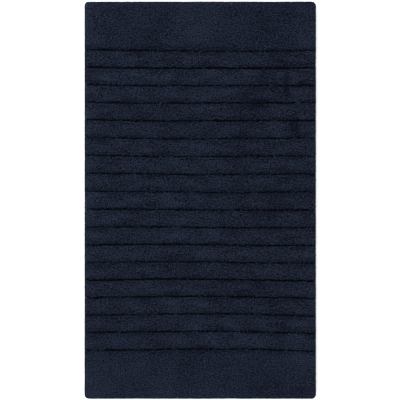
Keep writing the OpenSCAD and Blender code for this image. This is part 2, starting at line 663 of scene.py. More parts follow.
@dataclass(frozen=True)
class WovenCloth(Finish):
    """Woven cotton, plain or twill, with its yarns in relief and slight slubs."""

    roughness: float = 0.85
    sheen: float = 0.1
    dark: Colour = (0.008, 0.010, 0.018)
    light: Colour = (0.022, 0.027, 0.044)
    pitch: float = 1.2 * MM
    weave_kind: Weave = Weave.PLAIN
    fibre_share: float = 0.3
    fibre_contrast: float = 0.5
    fibre_height: float = 0.3
    slub_size: float = 12 * MM
    slub_contrast: float = 0.4
    relief_share: float = 0.3

    def material(self) -> bpy.types.Material:
        """Builds the material from the weave, its fibres and its slubs. Shares are of the yarns' pitch.

        Returns:
            The material.
        """
        made, bench, shader = self.shader()
        place = bench.add("ShaderNodeTexCoord").outputs["Object"]
        weave = self.weave(bench, place, self.pitch, self.weave_kind)
        fibre = self.fibre(bench, place, self.pitch * self.fibre_share, self.fibre_contrast)
        slub = bench.math("SUBTRACT", bench.noise(place, self.slub_size), 0.5)
        shade = bench.math("ADD", weave.outputs["Shade"], bench.math("SUBTRACT", fibre.outputs["Shade"], 0.5))
        shade = bench.math("ADD", shade, bench.math("MULTIPLY", slub, self.slub_contrast), clamp=True)
        bench.feed(shader.inputs["Base Color"], bench.mix(shade, self.dark, self.light))
        self.roughen(bench, shader, fibre)
        loose = bench.math("MULTIPLY", fibre.outputs["Height"], self.fibre_height)
        height = bench.math("ADD", weave.outputs["Height"], loose)
        bench.feed(shader.inputs["Normal"], bench.bump(height, self.pitch * self.relief_share))
        return made


@dataclass(frozen=True)
class SprayedLatex(Finish):
    """Latex sprayed thinly over the backing: matt, pale, with pinholes and scuffed ridges."""

    name: str = "sprayed_latex"
    roughness: float = 0.8
    specular: float = 0.4
    pale: Colour = (0.33, 0.34, 0.335)
    thin: Colour = (0.15, 0.165, 0.185)
    stitch: float = 3.2 * MM
    patch_size: float = 60 * MM
    pinhole_size: float = 4 * MM
    grain_size: float = 0.8 * MM
    fine_detail: float = 3.0
    bare_below: float = 0.7
    cover_gain: float = 1.6
    ridge_share: float = 0.3
    cover_gloss: float = 0.3
    grain_height: float = 0.5
    relief: float = 0.35 * MM

    def material(self) -> bpy.types.Material:
        """Builds the material: thin where the noise is low, with the back stitches in relief.

        Returns:
            The material.
        """
        made, bench, shader = self.shader()
        place = bench.add("ShaderNodeTexCoord").outputs["Object"]
        patches = bench.noise(place, self.patch_size, self.fine_detail)
        cover = bench.math("ADD", patches, bench.noise(place, self.pinhole_size))
        cover = bench.math("SUBTRACT", cover, self.bare_below)
        cover = bench.math("MULTIPLY", cover, self.cover_gain, clamp=True)
        ridge = bench.math("MULTIPLY", bench.value("ridge"), self.ridge_share)
        cover = bench.math("ADD", ridge, bench.math("MULTIPLY", cover, 1 - self.ridge_share))
        bench.feed(shader.inputs["Base Color"], bench.mix(cover, self.thin, self.pale))
        gloss = bench.math("MULTIPLY", cover, self.cover_gloss)
        bench.feed(shader.inputs["Roughness"], bench.math("SUBTRACT", self.roughness, gloss))
        stitches = self.weave(bench, place, self.stitch, Weave.PLAIN)
        grain = bench.noise(place, self.grain_size, self.fine_detail)
        grain = bench.math("MULTIPLY", grain, self.grain_height)
        height = bench.math("ADD", stitches.outputs["Height"], grain)
        bench.feed(shader.inputs["Normal"], bench.bump(height, self.relief))
        return made


@dataclass(frozen=True)
class SewingThread(Finish):
    """Twisted sewing thread, its plies in relief."""

    name: str = "navy_thread"
    roughness: float = 0.6
    sheen: float = 0.1
    specular: float = 0.3
    dark: Colour = (0.016, 0.021, 0.038)
    light: Colour = (0.055, 0.068, 0.110)
    ply: float = 0.5 * MM
    plies_per_step: float = 0.3
    twist_wander: float = 1.5
    fibre_share: float = 0.4
    fibre_contrast: float = 0.6
    relief_share: float = 0.2

    def material(self) -> bpy.types.Material:
        """Builds the material: slanting plies, from a wave in bands that run diagonally. Shares are of a ply.

        Returns:
            The material.
        """
        made, bench, shader = self.shader()
        place = bench.add("ShaderNodeTexCoord").outputs["Object"]
        plies = bench.add("ShaderNodeTexWave", bands_direction="DIAGONAL")
        bench.feed(plies.inputs["Vector"], place)
        plies.inputs["Scale"].default_value = self.plies_per_step / self.ply
        plies.inputs["Distortion"].default_value = self.twist_wander
        fibre = self.fibre(bench, place, self.ply * self.fibre_share, self.fibre_contrast)
        shade = bench.math("MULTIPLY", bench.math("ADD", plies.outputs["Fac"], fibre.outputs["Shade"]), 0.5)
        bench.feed(shader.inputs["Base Color"], bench.mix(shade, self.dark, self.light))
        bench.feed(shader.inputs["Normal"], bench.bump(plies.outputs["Fac"], self.ply * self.relief_share))
        return made


@dataclass(frozen=True)
class PaleFloor(Finish):
    """A plain pale floor."""

    name: str = "pale_floor"
    roughness: float = 0.9
    specular: float = 0.0
    colour: Colour = (0.90, 0.90, 0.90)

    def material(self) -> bpy.types.Material:
        """Builds the plain material.

        Returns:
            The material.
        """
        made, _, shader = self.shader()
        shader.inputs["Base Color"].default_value = (*self.colour, 1.0)
        return made


# Backing colours kept near black: painted shade for where the cloth shows deep in the grooves
BACKING_PAINTED_SHADE = WovenCloth(
    "navy_backing_painted_shade", sheen=0.0, specular=0.05, dark=(0.0014, 0.0018, 0.0034), light=(0.0045, 0.0055, 0.0095)
)
TWILL_TAPE = WovenCloth(
    "navy_twill_tape",
    pitch=0.9 * MM,
    weave_kind=Weave.TWILL,
    dark=(0.010, 0.013, 0.024),
    light=(0.032, 0.039, 0.064),
)
RIBBON = WovenCloth(
    "white_ribbon", pitch=0.5 * MM, roughness=0.6, dark=(0.36, 0.36, 0.34), light=(0.60, 0.60, 0.575)
)


# ----------------------------------------------------------------------------------------------------
# Layout of the mat
# ----------------------------------------------------------------------------------------------------


@dataclass(frozen=True)
class RoundedOblong:
    """An oblong with rounded corners, centred on the mat's middle."""

    width: float
    length: float
    radius: float
    least_radius: float = 1 * MM

    def past_straights(self, x: Array, y: Array) -> tuple[Array, Array]:
        """How far out each place lies past the corners' centres, across and along, or 0."""
        past_x = np.maximum(np.abs(x) - (self.width / 2 - self.radius), 0)
        return past_x, np.maximum(np.abs(y) - (self.length / 2 - self.radius), 0)

    def rounded(self, x: Array, y: Array) -> tuple[Array, Array]:
        """Draws the places of the sharp-cornered oblong into the rounded one.

        In the square of each corner, a place moves towards the corner's centre until its distance from it is
        the larger of its two distances along x and y.

        Args:
            x: Places across.
            y: Places along.

        Returns:
            The moved x and y.
        """
        past_x, past_y = self.past_straights(x, y)
        far = np.hypot(past_x, past_y)
        both = (past_x > 0) & (past_y > 0)
        pull = np.where(both, np.maximum(past_x, past_y) / np.where(both, far, 1), 1)
        return x - np.sign(x) * past_x * (1 - pull), y - np.sign(y) * past_y * (1 - pull)

    def inset(self, by: float) -> "RoundedOblong":
        """The oblong that lies this far inside."""
        radius = max(self.radius - by, self.least_radius)
        return RoundedOblong(self.width - 2 * by, self.length - 2 * by, radius)

    def grid(self, step: float) -> tuple[Array, Array]:
        """Covers the oblong with a grid of places, the outermost ones on its outline.

        Args:
            step: About how far apart they are.

        Returns:
            Each place's x and y, by column and row.
        """
        across = np.linspace(-0.5, 0.5, round(self.width / step) + 1) * self.width
        along = np.linspace(-0.5, 0.5, round(self.length / step) + 1) * self.length
        return self.rounded(*np.meshgrid(across, along, indexing="ij"))

    def clipped(self, x: Array, y: Array) -> tuple[Array, Array]:
        """Moves each place outside the oblong to its outline.

        A place past a corner's centre on both ways moves straight towards that centre.

        Args:
            x: Places across.
            y: Places along.

        Returns:
            The moved x and y.
        """
        x, y = x.clip(-self.width / 2, self.width / 2), y.clip(-self.length / 2, self.length / 2)
        past_x, past_y = self.past_straights(x, y)
        pull = np.minimum(1, self.radius / np.maximum(np.hypot(past_x, past_y), TINY))
        return x - np.sign(x) * past_x * (1 - pull), y - np.sign(y) * past_y * (1 - pull)

    def around(self, step: float) -> tuple[Array, Array, Array]:
        """Goes round the outline in equal steps, turning left.

        Args:
            step: About how long each step is.

        Returns:
            Each place, the way on at it, and the true length of a step.
        """
        run_x, run_y = self.width - 2 * self.radius, self.length - 2 * self.radius
        bend = self.radius * math.pi / 2
        whole = 2 * (run_x + run_y) + 4 * bend
        count = round(whole / step)
        at = np.arange(count) / count * whole
        lengths = np.array([run_y, bend, run_x, bend] * 2)
        ends = np.cumsum(lengths)
        leg = np.searchsorted(ends, at, side="right")
        along = at - (ends - lengths)[leg]
        turned = leg % 2 == 1
        corner = np.array([(1, 1), (1, 1), (-1, 1), (-1, 1), (-1, -1), (-1, -1), (1, -1), (1, -1)])[leg]
        heading = math.pi / 2 * (leg // 2 + 1) + np.where(turned, along / self.radius, 0)
        way = np.stack([np.cos(heading), np.sin(heading)], -1)
        out = np.stack([way[:, 1], -way[:, 0]], -1)
        centre = corner * np.array([run_x, run_y]) / 2
        back = np.where(turned, 0, lengths[leg] - along)[:, None]
        return centre + out * self.radius - way * back, way, whole / count


@dataclass(frozen=True)
class GrooveCourse:
    """Where the grooves run: evenly apart, bowed and skewed with the cloth, drifting and waving a little.

    The slack says how much further open than the rest some grooves stand, on each side, by their number.
    """

    half_width: float
    half_length: float
    ribs: int
    pitch: float = 40.64 * MM
    gap: float = 3 * MM
    corner: float = 10 * MM
    bow: float = 5.5 * MM
    skew: float = 1 * MM
    drift: float = 1.3 * MM
    wave: float = 0.8 * MM
    turn: float = math.radians(28)
    drift_start: float = math.radians(68)
    wave_count: float = 1.1
    slack: tuple[tuple[int, float], ...] = (
        (4, 0.7 * MM),
        (5, -0.4 * MM),
        (9, -0.5 * MM),
        (11, -0.4 * MM),
        (16, 0.4 * MM),
    )

    def middle(self, groove: int, x: Array) -> Array:
        """The middle of a groove, by the same formula as the CAD model's.

        With u and v from -1 to 1 over the mat, the bow grows with v and with u squared less its mean of a
        third, and the skew with u. The drift is a sine of the groove's number, and the wave a sine along it.

        Args:
            groove: The groove's number, from 0 at the foot band.
            x: Places across the mat.

        Returns:
            The y of its middle at each place.
        """
        y = (groove - self.ribs / 2) * self.pitch
        u, v = x / self.half_width, y / self.half_length
        bowed = self.bow * v * (u * u - 1 / 3) - self.skew * u
        drifted = self.drift * math.sin(self.turn * groove + self.drift_start)
        return y + bowed + drifted + self.wave * np.sin(math.pi * self.wave_count * u + self.turn * groove)

    def slack_of(self, groove: int) -> float:
        """How much further open than the others a groove stands, on each side."""
        return dict(self.slack).get(groove, 0.0)

    def end(self, x: Array) -> Array:
        """The mat's head end at each x, with its rounded corners."""
        past = np.maximum(np.abs(x) - (self.half_width - self.corner), 0)
        return self.half_length - self.corner + np.sqrt(np.maximum(self.corner**2 - past**2, 0))

    def low(self, strip: int, x: Array) -> Array:
        """The edge of a strip of pile that is nearer the foot end."""
        return -self.end(x) if strip == 0 else self.middle(strip - 1, x) + self.gap / 2

    def high(self, strip: int, x: Array) -> Array:
        """The edge of a strip of pile that is nearer the head end."""
        return self.end(x) if strip == self.ribs + 1 else self.middle(strip, x) - self.gap / 2


@dataclass(frozen=True)
class MatPlan:
    """The mat's levels and outlines, read from the CAD frame."""

    half_width: float
    half_length: float
    coat_top: float
    pile_foot: float
    pile_top: float
    cloth: RoundedOblong
    coat_half: tuple[float, float]
    course: GrooveCourse

    @staticmethod
    def from_frame() -> "MatPlan":
        """Reads the plan from the boxes of the CAD nodes.

        Returns:
            The plan.
        """
        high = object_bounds()[1]
        cloth_low, cloth_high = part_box("backing_cloth")
        coat_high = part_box("anti_slip_coat")[1]
        ribs = sum(name.startswith("pile_rib_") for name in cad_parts)
        course = GrooveCourse(high.x, high.y, ribs)
        spread = high.x - cloth_high.x
        cloth = RoundedOblong(cloth_high.x - cloth_low.x, cloth_high.y - cloth_low.y, course.corner - spread)
        coat_half = (coat_high.x, coat_high.y)
        return MatPlan(high.x, high.y, coat_high.z, cloth_high.z, high.z, cloth, coat_half, course)


# ----------------------------------------------------------------------------------------------------
# Pile
# ----------------------------------------------------------------------------------------------------


@dataclass(frozen=True)
class PaintedLightMark:
    """Painted light and shade: pile brushed by a hand or a foot, and the light's fall across the mat."""

    x: float
    y: float
    half_width: float
    half_length: float
    tone: float

    def at(self, x: Array, y: Array) -> Array:
        """The mark's change of tone at each place: a bell over an oval."""
        across, along = (x - self.x) / self.half_width, (y - self.y) / self.half_length
        return self.tone * np.exp(-(across**2) - along**2)


@dataclass(frozen=True)
class Nap:
    """How the pile leans and how light it looks over the whole mat, painted light and shade included."""

    lean: tuple[float, float] = (0.5 * MM, -0.5 * MM)
    swirl: float = 0.9 * MM
    swirl_length: float = 70 * MM
    clump: float = 0.45 * MM
    clump_length: float = 11 * MM
    base_tone: float = 0.50
    cloud_tone: float = 0.058
    cloud_length: float = 160 * MM
    streak_tone: float = 0.100
    streak_length: float = 24 * MM
    streak_stretch: float = 3.5
    clump_tone: float = 0.040
    clump_tone_length: float = 10 * MM
    strip_tone: float = 0.020
    strip_turn: float = 2.4
    tuft_tone: float = 0.42
    row_contrast: float = 0.42
    band_tone: float = -0.035
    band_calm: float = 0.35
    band_grain: float = 0.86
    # Painted shade beside each groove: how deep, how much deeper on its bank that faces the head end, how far
    painted_groove_shade: float = 0.31
    groove_shade: float = 0.18
    groove_reach: float = 7.5 * MM
    # Painted shade along the mat's rim, and how far in it reaches
    rim_painted_shade: float = 0.30
    rim_reach: float = 1.5 * MM
    # Marks of painted light and shade: nap brushed another way, a darker right side and a lighter left edge
    light_marks: tuple[PaintedLightMark, ...] = (
        PaintedLightMark(0.128, 0.222, 0.042, 0.030, -0.32),
        PaintedLightMark(0.199, 0.267, 0.006, 0.028, -1.10),
        PaintedLightMark(0.218, 0.173, 0.009, 0.022, -0.95),
        PaintedLightMark(0.190, 0.205, 0.020, 0.014, 0.15),
        PaintedLightMark(0.203, 0.322, 0.034, 0.016, -0.26),
        PaintedLightMark(-0.211, 0.383, 0.014, 0.013, -0.24),
        PaintedLightMark(-0.095, 0.408, 0.022, 0.028, -0.15),
        PaintedLightMark(0.165, -0.025, 0.045, 0.050, -0.17),
        PaintedLightMark(0.090, 0.090, 0.060, 0.040, -0.10),
        PaintedLightMark(0.125, -0.205, 0.070, 0.022, -0.20),
        PaintedLightMark(0.225, -0.195, 0.045, 0.024, 0.28),
        PaintedLightMark(0.227, -0.360, 0.035, 0.016, 0.18),
        PaintedLightMark(0.229, -0.435, 0.016, 0.014, -0.30),
        PaintedLightMark(0.257, 0.046, 0.022, 0.010, -0.20),
        PaintedLightMark(0.168, 0.152, 0.032, 0.018, 0.17),
        PaintedLightMark(0.240, 0.200, 0.024, 0.040, 0.08),
        PaintedLightMark(-0.096, 0.000, 0.060, 0.014, 0.11),
        PaintedLightMark(0.004, 0.122, 0.060, 0.016, 0.11),
        PaintedLightMark(0.005, 0.395, 0.055, 0.050, 0.13),
        PaintedLightMark(0.140, 0.410, 0.035, 0.050, -0.11),
        PaintedLightMark(0.100, -0.290, 0.100, 0.016, -0.08),
        PaintedLightMark(0.090, -0.330, 0.060, 0.012, 0.10),
        PaintedLightMark(-0.262, 0.050, 0.022, 0.420, 0.17),
        PaintedLightMark(-0.250, -0.425, 0.045, 0.030, 0.14),
        PaintedLightMark(0.170, 0.000, 0.110, 0.600, -0.06),
    )

    def lean_at(self, x: Array, y: Array) -> tuple[Array, Array]:
        """How far a tuft's tip lies from its root at each place.

        Args:
            x: Places across.
            y: Places along.

        Returns:
            The lean across and along: the mat's own lean, slow swirls, and clumps of a few tufts.
        """
        seeds = ((Seed.SWIRL_ACROSS, Seed.CLUMP_ACROSS), (Seed.SWIRL_ALONG, Seed.CLUMP_ALONG))
        across, along = (
            lean
            + self.swirl * Waves(swirl, self.swirl_length).at(x, y)
            + self.clump * Waves(clump, self.clump_length).at(x, y)
            for lean, (swirl, clump) in zip(self.lean, seeds)
        )
        return across, along

    def tone_at(self, x: Array, y: Array, calm: float) -> Array:
        """How light the yarn looks at each place, from 0 to 1.

        Args:
            x: Places across.
            y: Places along.
            calm: The share of the streaks and clumps that shows.

        Returns:
            The sum of the mat's own tone, slow clouds, streaks along the ribs, clumps of tufts, and the marks
            of painted light and shade.
        """
        streaks = Waves(Seed.STREAKS, self.streak_length, stretch=self.streak_stretch)
        tone = self.base_tone + self.cloud_tone * Waves(Seed.CLOUDS, self.cloud_length).at(x, y)
        tone = tone + calm * self.streak_tone * streaks.at(x, y)
        tone = tone + calm * self.clump_tone * Waves(Seed.TONE_CLUMPS, self.clump_tone_length).at(x, y)
        # The marks add painted light and shade
        return tone + sum(mark.at(x, y) for mark in self.light_marks)

    def grain(self, rows: int, columns: int, draw: np.random.Generator) -> Array:
        """How far each tuft differs in tone from those around it, most of all from the rows beside its own.

        Args:
            rows: The number of rows of tufts.
            columns: The number of tufts in a row.
            draw: The source of random numbers.

        Returns:
            Each tuft's own random tone less a share of its neighbours', row by row.
        """
        own = draw.normal(size=(rows, columns))
        shares = ((0, self.row_contrast), (1, 0.5 - self.row_contrast))
        around = sum(share * (np.roll(own, 1, axis) + np.roll(own, -1, axis)) for axis, share in shares)
        return (self.tuft_tone * (own - around)).ravel()


@dataclass(frozen=True)
class Tuft:
    """One tuft of cut yarn: it rises from a stitch in the cloth, swells, and ends in a ragged tip."""

    radius: float = 1.50 * MM
    sides: int = 5
    levels: tuple[float, ...] = (0.55, 0.93)
    swell: tuple[float, ...] = (1.0, 0.80)
    radius_spread: float = 0.15
    ragged: float = 0.32
    fray: float = 0.6 * MM
    slip: float = 0.45 * MM
    lean_power: float = 1.5
    widest: float = 2.0

    def grown(
        self, roots: Array, tips: Array, unrest: Array, draw: np.random.Generator, cell_map: CellMap
    ) -> Shell:
        """Grows tufts from their roots to their tips.

        A tuft's middle line leaves its root straight up and leans more and more, as a power of its height.
        Each ring is ragged in radius and in height, and the whole tuft is turned at random. Its size and its
        tip's slip are normal, cut off at the widest number of spreads.

        Args:
            roots: The roots, as an array of points.
            tips: The tips, in the same order.
            unrest: How much of its raggedness and slip each tuft has, from 0 to 1.
            draw: The source of random numbers.
            cell_map: The bake map of the piece.

        Returns:
            The tufts' shell, with each point's rise from 0 at the root to 1 at the tip.
        """
        count, levels = len(roots), np.array(self.levels)
        span = (tips - roots)[:, None, :]
        way = np.stack([levels**self.lean_power, levels**self.lean_power, levels], -1)
        middle = roots[:, None, :] + span * way[None]
        turn = draw.uniform(0, math.tau, count)[:, None, None]
        angle = turn + np.arange(self.sides) / self.sides * math.tau
        thicker = self.radius_spread * unrest * draw.normal(size=count).clip(-self.widest, self.widest)
        size = self.radius * (1 + thicker)[:, None, None]
        reach = size * np.array(self.swell)[None, :, None]
        rough = self.ragged * unrest[:, None, None]
        reach = reach * (1 + rough * draw.uniform(-1, 1, (count, len(levels), self.sides)))
        height = self.fray * draw.uniform(-1, 1, reach.shape)
        ring = np.stack([reach * np.cos(angle), reach * np.sin(angle), height], -1)
        slip = self.slip * unrest[:, None] * draw.normal(size=(count, 2)).clip(-self.widest, self.widest)
        slip = np.append(slip, np.zeros((count, 1)), 1)
        shell = stacked_rings(middle[:, :, None, :] + ring, tips + slip, roots, cell_map)
        rise = np.concatenate([np.repeat(levels, self.sides), [1.0, 0.0]])
        shell.values["rise"] = np.tile(rise, count)
        return shell


@dataclass
class PileStrip:
    """A strip of pile: rows of tufts over a dense core of their roots, dark with painted shade."""

    name: str
    index: int
    plan: MatPlan
    nap: Nap = Nap()
    tuft: Tuft = Tuft()
    row_step: float = 2.56 * MM
    rim_inset: float = 0.35 * MM
    end_inset: float = -0.6 * MM
    groove_inset: float = 1.05 * MM
    closing: float = 3.5 * MM
    closing_rate: float = 1.5
    jitter: float = 0.30
    lip_jitter: float = 0.5
    shift_power: int = 40
    shoulder_width: float = 8 * MM
    shoulder_drop: float = 4.5 * MM
    crown: float = 0.5 * MM
    unevenness: float = 0.3 * MM
    uneven_length: float = 14 * MM
    tuft_unevenness: float = 0.45 * MM
    rim: float = 12 * MM
    splay: float = 3.5 * MM
    groove_lean: float = 1.0 * MM
    lean_power: int = 12
    lean_wander: float = 0.7
    lean_length: float = 20 * MM
    groove_shift: float = -0.8 * MM
    rim_calm: float = 0.25
    edge_wander: float = 0.6 * MM
    wander_length: float = 10 * MM
    opening: float = 0.3 * MM
    opening_length: float = 75 * MM
    core_height: float = 0.5
    core_inset: float = 3 * MM
    core_sections: int = 33
    # The core's low rise gives it the root colour: painted shade under the tips
    core_rise: float = 0.15

    def at_rim(self) -> tuple[bool, bool]:
        """Whether the strip's low and high edges are ends of the mat and not grooves."""
        return self.index == 0, self.index == self.plan.course.ribs + 1

    def edge(self, x: Array, high: bool) -> Array:
        """Where the outermost tips of one edge stand: straight along the mat's end, unsteady along a groove.

        The nap carries a groove's opening a little towards the foot end. Close to the mat's side the opening
        closes in proportion to the distance, so that the rim has no notches.

        Args:
            x: Places across the mat.
            high: Whether it is the edge towards the head end.

        Returns:
            The y of the edge's tips.
        """
        course = self.plan.course
        line = course.high(self.index, x) if high else course.low(self.index, x)
        inward = -1 if high else 1
        if self.at_rim()[high]:
            return line + inward * self.end_inset
        seed = Seed.HIGH_EDGE if high else Seed.LOW_EDGE
        slack = course.slack_of(self.index if high else self.index - 1)
        wander = self.edge_wander * Waves(seed, self.wander_length).at(x, line)
        wander = wander + self.opening * Waves(Seed.OPENING, self.opening_length).at(x, line)
        rate, from_side = self.closing_rate, self.plan.half_width - np.abs(x)
        closed = (rate - rate * from_side / self.closing).clip(0, 1)
        apart = np.maximum(self.groove_inset + slack + wander, 0)
        return line + self.groove_shift + inward * (apart * (1 - closed) - course.gap / 2 * closed)

    def places(self, draw: np.random.Generator) -> tuple[Array, Array, Array, Array]:
        """Sets out the tips in rows along the strip.

        Rows are evenly apart between the strip's edges, and every other row is shifted by half a step, but
        not at its two ends. Then each tip is moved at random, but not across the mat's rim. Along the rim,
        more tufts fill in between the rows, and between the columns of an end row.

        Args:
            draw: The source of random numbers.

        Returns:
            Each tip's x and y, its share of the way from the strip's low edge to its high one, and its grain.
        """
        width = 2 * (self.plan.half_width - self.rim_inset)
        middle = np.zeros(1)
        across = (self.edge(middle, True) - self.edge(middle, False))[0]
        rows, columns = round(across / self.row_step) + 1, round(width / self.row_step) + 1
        row, column = np.divmod(np.arange(rows * columns), columns)
        side = column / (columns - 1) * 2 - 1
        shift = (row % 2 - 0.5) / 2 * (1 - np.abs(side) ** self.shift_power)
        fixed_low, fixed_high = self.at_rim()
        end_row = (fixed_low & (row == 0)) | (fixed_high & (row == rows - 1))
        swing = self.row_step * self.jitter
        x = ((column + shift) / (columns - 1) - 0.5) * width
        x = x + swing * draw.uniform(-1, 1, x.shape) * (np.abs(side) < 1)
        lip = ~end_row & ((row == 0) | (row == rows - 1))
        y_swing = swing * draw.uniform(-1, 1, x.shape) * ~end_row * (1 - self.lip_jitter * lip)
        grain = self.nap.grain(rows, columns, draw)
        at_side = (np.abs(side) == 1) & (row < rows - 1)
        at_end = end_row & (column < columns - 1)
        fill = at_side | at_end
        x = np.append(x, (x + at_end * width / (columns - 1) / 2)[fill]).clip(-width / 2, width / 2)
        share = np.append(row / (rows - 1), ((row + 0.5 * (at_side & ~end_row)) / (rows - 1))[fill])
        y_swing, grain = np.append(y_swing, 0 * grain[fill]), np.append(grain, -grain[fill])
        low, high = self.edge(x, False), self.edge(x, True)
        limit = self.plan.course.end(x) - self.end_inset
        y = (low + (high - low) * share + y_swing).clip(-limit, limit)
        if fixed_low or fixed_high:
            arc_x, arc_y = self.corners(1 if fixed_high else -1)
            x, y = np.append(x, arc_x), np.append(y, arc_y)
            share = np.append(share, np.full_like(arc_x, float(fixed_high)))
            grain = np.append(grain, self.nap.tuft_tone * draw.normal(size=arc_x.shape))
        return x, y, share, grain

    def corners(self, end: int) -> tuple[Array, Array]:
        """Sets out tips round the two corners at one end of the mat.

        Args:
            end: 1 for the head end, -1 for the foot end.

        Returns:
            The tips' x and y.
        """
        plan, radius = self.plan, self.plan.course.corner
        turn = np.linspace(0, math.pi / 2, round(radius * math.pi / self.row_step))
        x = plan.half_width - radius + (radius - self.rim_inset) * np.cos(turn)
        y = plan.half_length - radius + (radius - self.end_inset) * np.sin(turn)
        return np.append(x, -x), end * np.append(y, y)

    def heights(self, x: Array, y: Array, draw: np.random.Generator) -> Array:
        """How high each tip stands: level, falling away as a quarter of an ellipse at the strip's edges.

        Args:
            x: The tips' places across.
            y: Their places along.
            draw: The source of random numbers.

        Returns:
            The z of each tip.
        """
        course, plan = self.plan.course, self.plan
        low, high = course.low(self.index, x), course.high(self.index, x)
        near = np.minimum(np.minimum(y - low, high - y), plan.half_width - np.abs(x))
        past = (1 - near / self.shoulder_width).clip(0, 1)
        fall = self.shoulder_drop * (1 - np.sqrt(1 - past * past))
        bulge = self.crown * ((y - low) / (high - low) * 2 - 1) ** 2
        uneven = self.unevenness * Waves(Seed.PILE_HEIGHT, self.uneven_length).at(x, y)
        uneven = uneven + self.tuft_unevenness * draw.normal(size=x.shape)
        return plan.pile_top - (fall + bulge + np.abs(uneven))

    def roots(self, x: Array, y: Array, share: Array) -> tuple[Array, Array]:
        """Where each tuft stands on the cloth: back along the nap, and in from the mat's rim.

        A tuft beside a groove leans away from it or over it, by a high power of its place in the strip.

        Args:
            x: The tips' places across.
            y: Their places along.
            share: Their share of the way from the strip's low edge to its high one.

        Returns:
            The roots' x and y.
        """
        plan = self.plan
        lean_x, lean_y = self.nap.lean_at(x, y)
        rim_x = (1 - (plan.half_width - np.abs(x)) / self.rim).clip(0, 1) ** 2
        rim_y = (1 - (plan.half_length - np.abs(y)) / self.rim).clip(0, 1) ** 2
        wander = 1 + self.lean_wander * Waves(Seed.GROOVE_LEAN, self.lean_length).at(x, y)
        lip = np.abs(share * 2 - 1) ** self.lean_power * self.groove_lean * wander
        root_x = x - lean_x - np.sign(x) * rim_x * self.splay
        root_y = y - lean_y - np.sign(y) * rim_y * self.splay - np.sign(share - 0.5) * lip
        inner = plan.cloth.inset(self.tuft.radius / 2)
        return inner.clipped(root_x, root_y)

    def core(self, cell_map: CellMap, cell: int) -> Shell:
        """Makes the dense body of roots under the tips, as one closed bar along the strip.

        Its section has a flat foot, two sides and a top with bevels, carried along the strip.

        Args:
            cell_map: The bake map of the piece.
            cell: The bar's cell on it.

        Returns:
            The bar's shell.
        """
        plan, course, inset = self.plan, self.plan.course, self.core_inset
        x = np.linspace(-1, 1, self.core_sections) * (plan.half_width - 2 * inset)
        low, high = course.low(self.index, x) + inset, course.high(self.index, x) - inset
        limit = plan.half_length - 2 * inset
        low, high = low.clip(-limit, limit), high.clip(-limit, limit)
        foot = np.full_like(x, plan.pile_foot)
        top = foot + self.core_height * (plan.pile_top - plan.pile_foot)
        bevel = inset / 2
        y = np.stack([low, high, high, high - bevel, low + bevel, low], -1)
        z = np.stack([foot, foot, top - bevel, top, top, top - bevel], -1)
        rings = np.stack([np.broadcast_to(x[:, None], y.shape), y, z], -1)
        shell = stacked_rings(rings[None], None, None, cell_map, cell)
        # Painted shade: the low rise puts the core in the dark root colour
        shell.values["rise"] = np.full(len(shell.points), self.core_rise)
        return shell

    def tone(self, x: Array, y: Array, grain: Array) -> Array:
        """How light each tuft looks: the nap's tone, with painted shade beside a groove and on the mat's rim.

        A groove's painted shade is deeper on the side that faces the head end, because the nap leans over
        the other side.

        Args:
            x: The tips' places across.
            y: Their places along.
            grain: How far each tuft differs from its neighbours.

        Returns:
            The tones, from 0 to 1.
        """
        nap, band = self.nap, any(self.at_rim())
        own = nap.strip_tone * math.sin(self.index * nap.strip_turn) + nap.band_tone * band
        tone = nap.tone_at(x, y, nap.band_calm if band else 1.0) + own
        tone = tone + grain * (nap.band_grain if band else 1.0)
        for high, rim in enumerate(self.at_rim()):
            if not rim:
                line = self.plan.course.high(self.index, x) if high else self.plan.course.low(self.index, x)
                # Painted shade beside the groove, deeper on the bank that faces the head end
                depth = nap.painted_groove_shade * (1 + nap.groove_shade * (2 * high - 1))
                tone = tone - depth * np.exp(-(((y - line) / nap.groove_reach) ** 2))
        # Painted shade along the mat's rim
        return (tone - nap.rim_painted_shade * np.exp(-((self.from_rim(x, y) / nap.rim_reach) ** 2))).clip(0.0, 1.0)

    def from_rim(self, x: Array, y: Array) -> Array:
        """How far inside the mat's outline each place is, or 0 outside it."""
        plan = self.plan
        return np.minimum(plan.half_width - np.abs(x), plan.course.end(x) - np.abs(y)).clip(0, None)

    def build(self, look: bpy.types.Material) -> bpy.types.Object:
        """Makes the strip's piece.

        Args:
            look: The pile's material.

        Returns:
            The new piece.
        """
        draw = np.random.default_rng(Seed.FIRST_STRIP + self.index)
        x, y, share, grain = self.places(draw)
        tips = np.stack([x, y, self.heights(x, y, draw)], -1)
        root_x, root_y = self.roots(x, y, share)
        roots = np.stack([root_x, root_y, np.full_like(x, self.plan.pile_foot)], -1)
        cell_map = CellMap(len(x) + 1)
        unrest = self.rim_calm + (1 - self.rim_calm) * (self.from_rim(x, y) / self.row_step).clip(0, 1)
        tufts = self.tuft.grown(roots, tips, unrest, draw, cell_map)
        tufts.values["tone"] = np.repeat(self.tone(x, y, grain), len(tufts.points) // len(x))
        core = self.core(cell_map, len(x))
        core.values["tone"] = np.full(len(core.points), self.nap.base_tone)
        return add_piece(self.name + "_tufts", Shell.joined([tufts, core]), look, "pile", self.name)


# ----------------------------------------------------------------------------------------------------
# Backing, hem and label
# ----------------------------------------------------------------------------------------------------


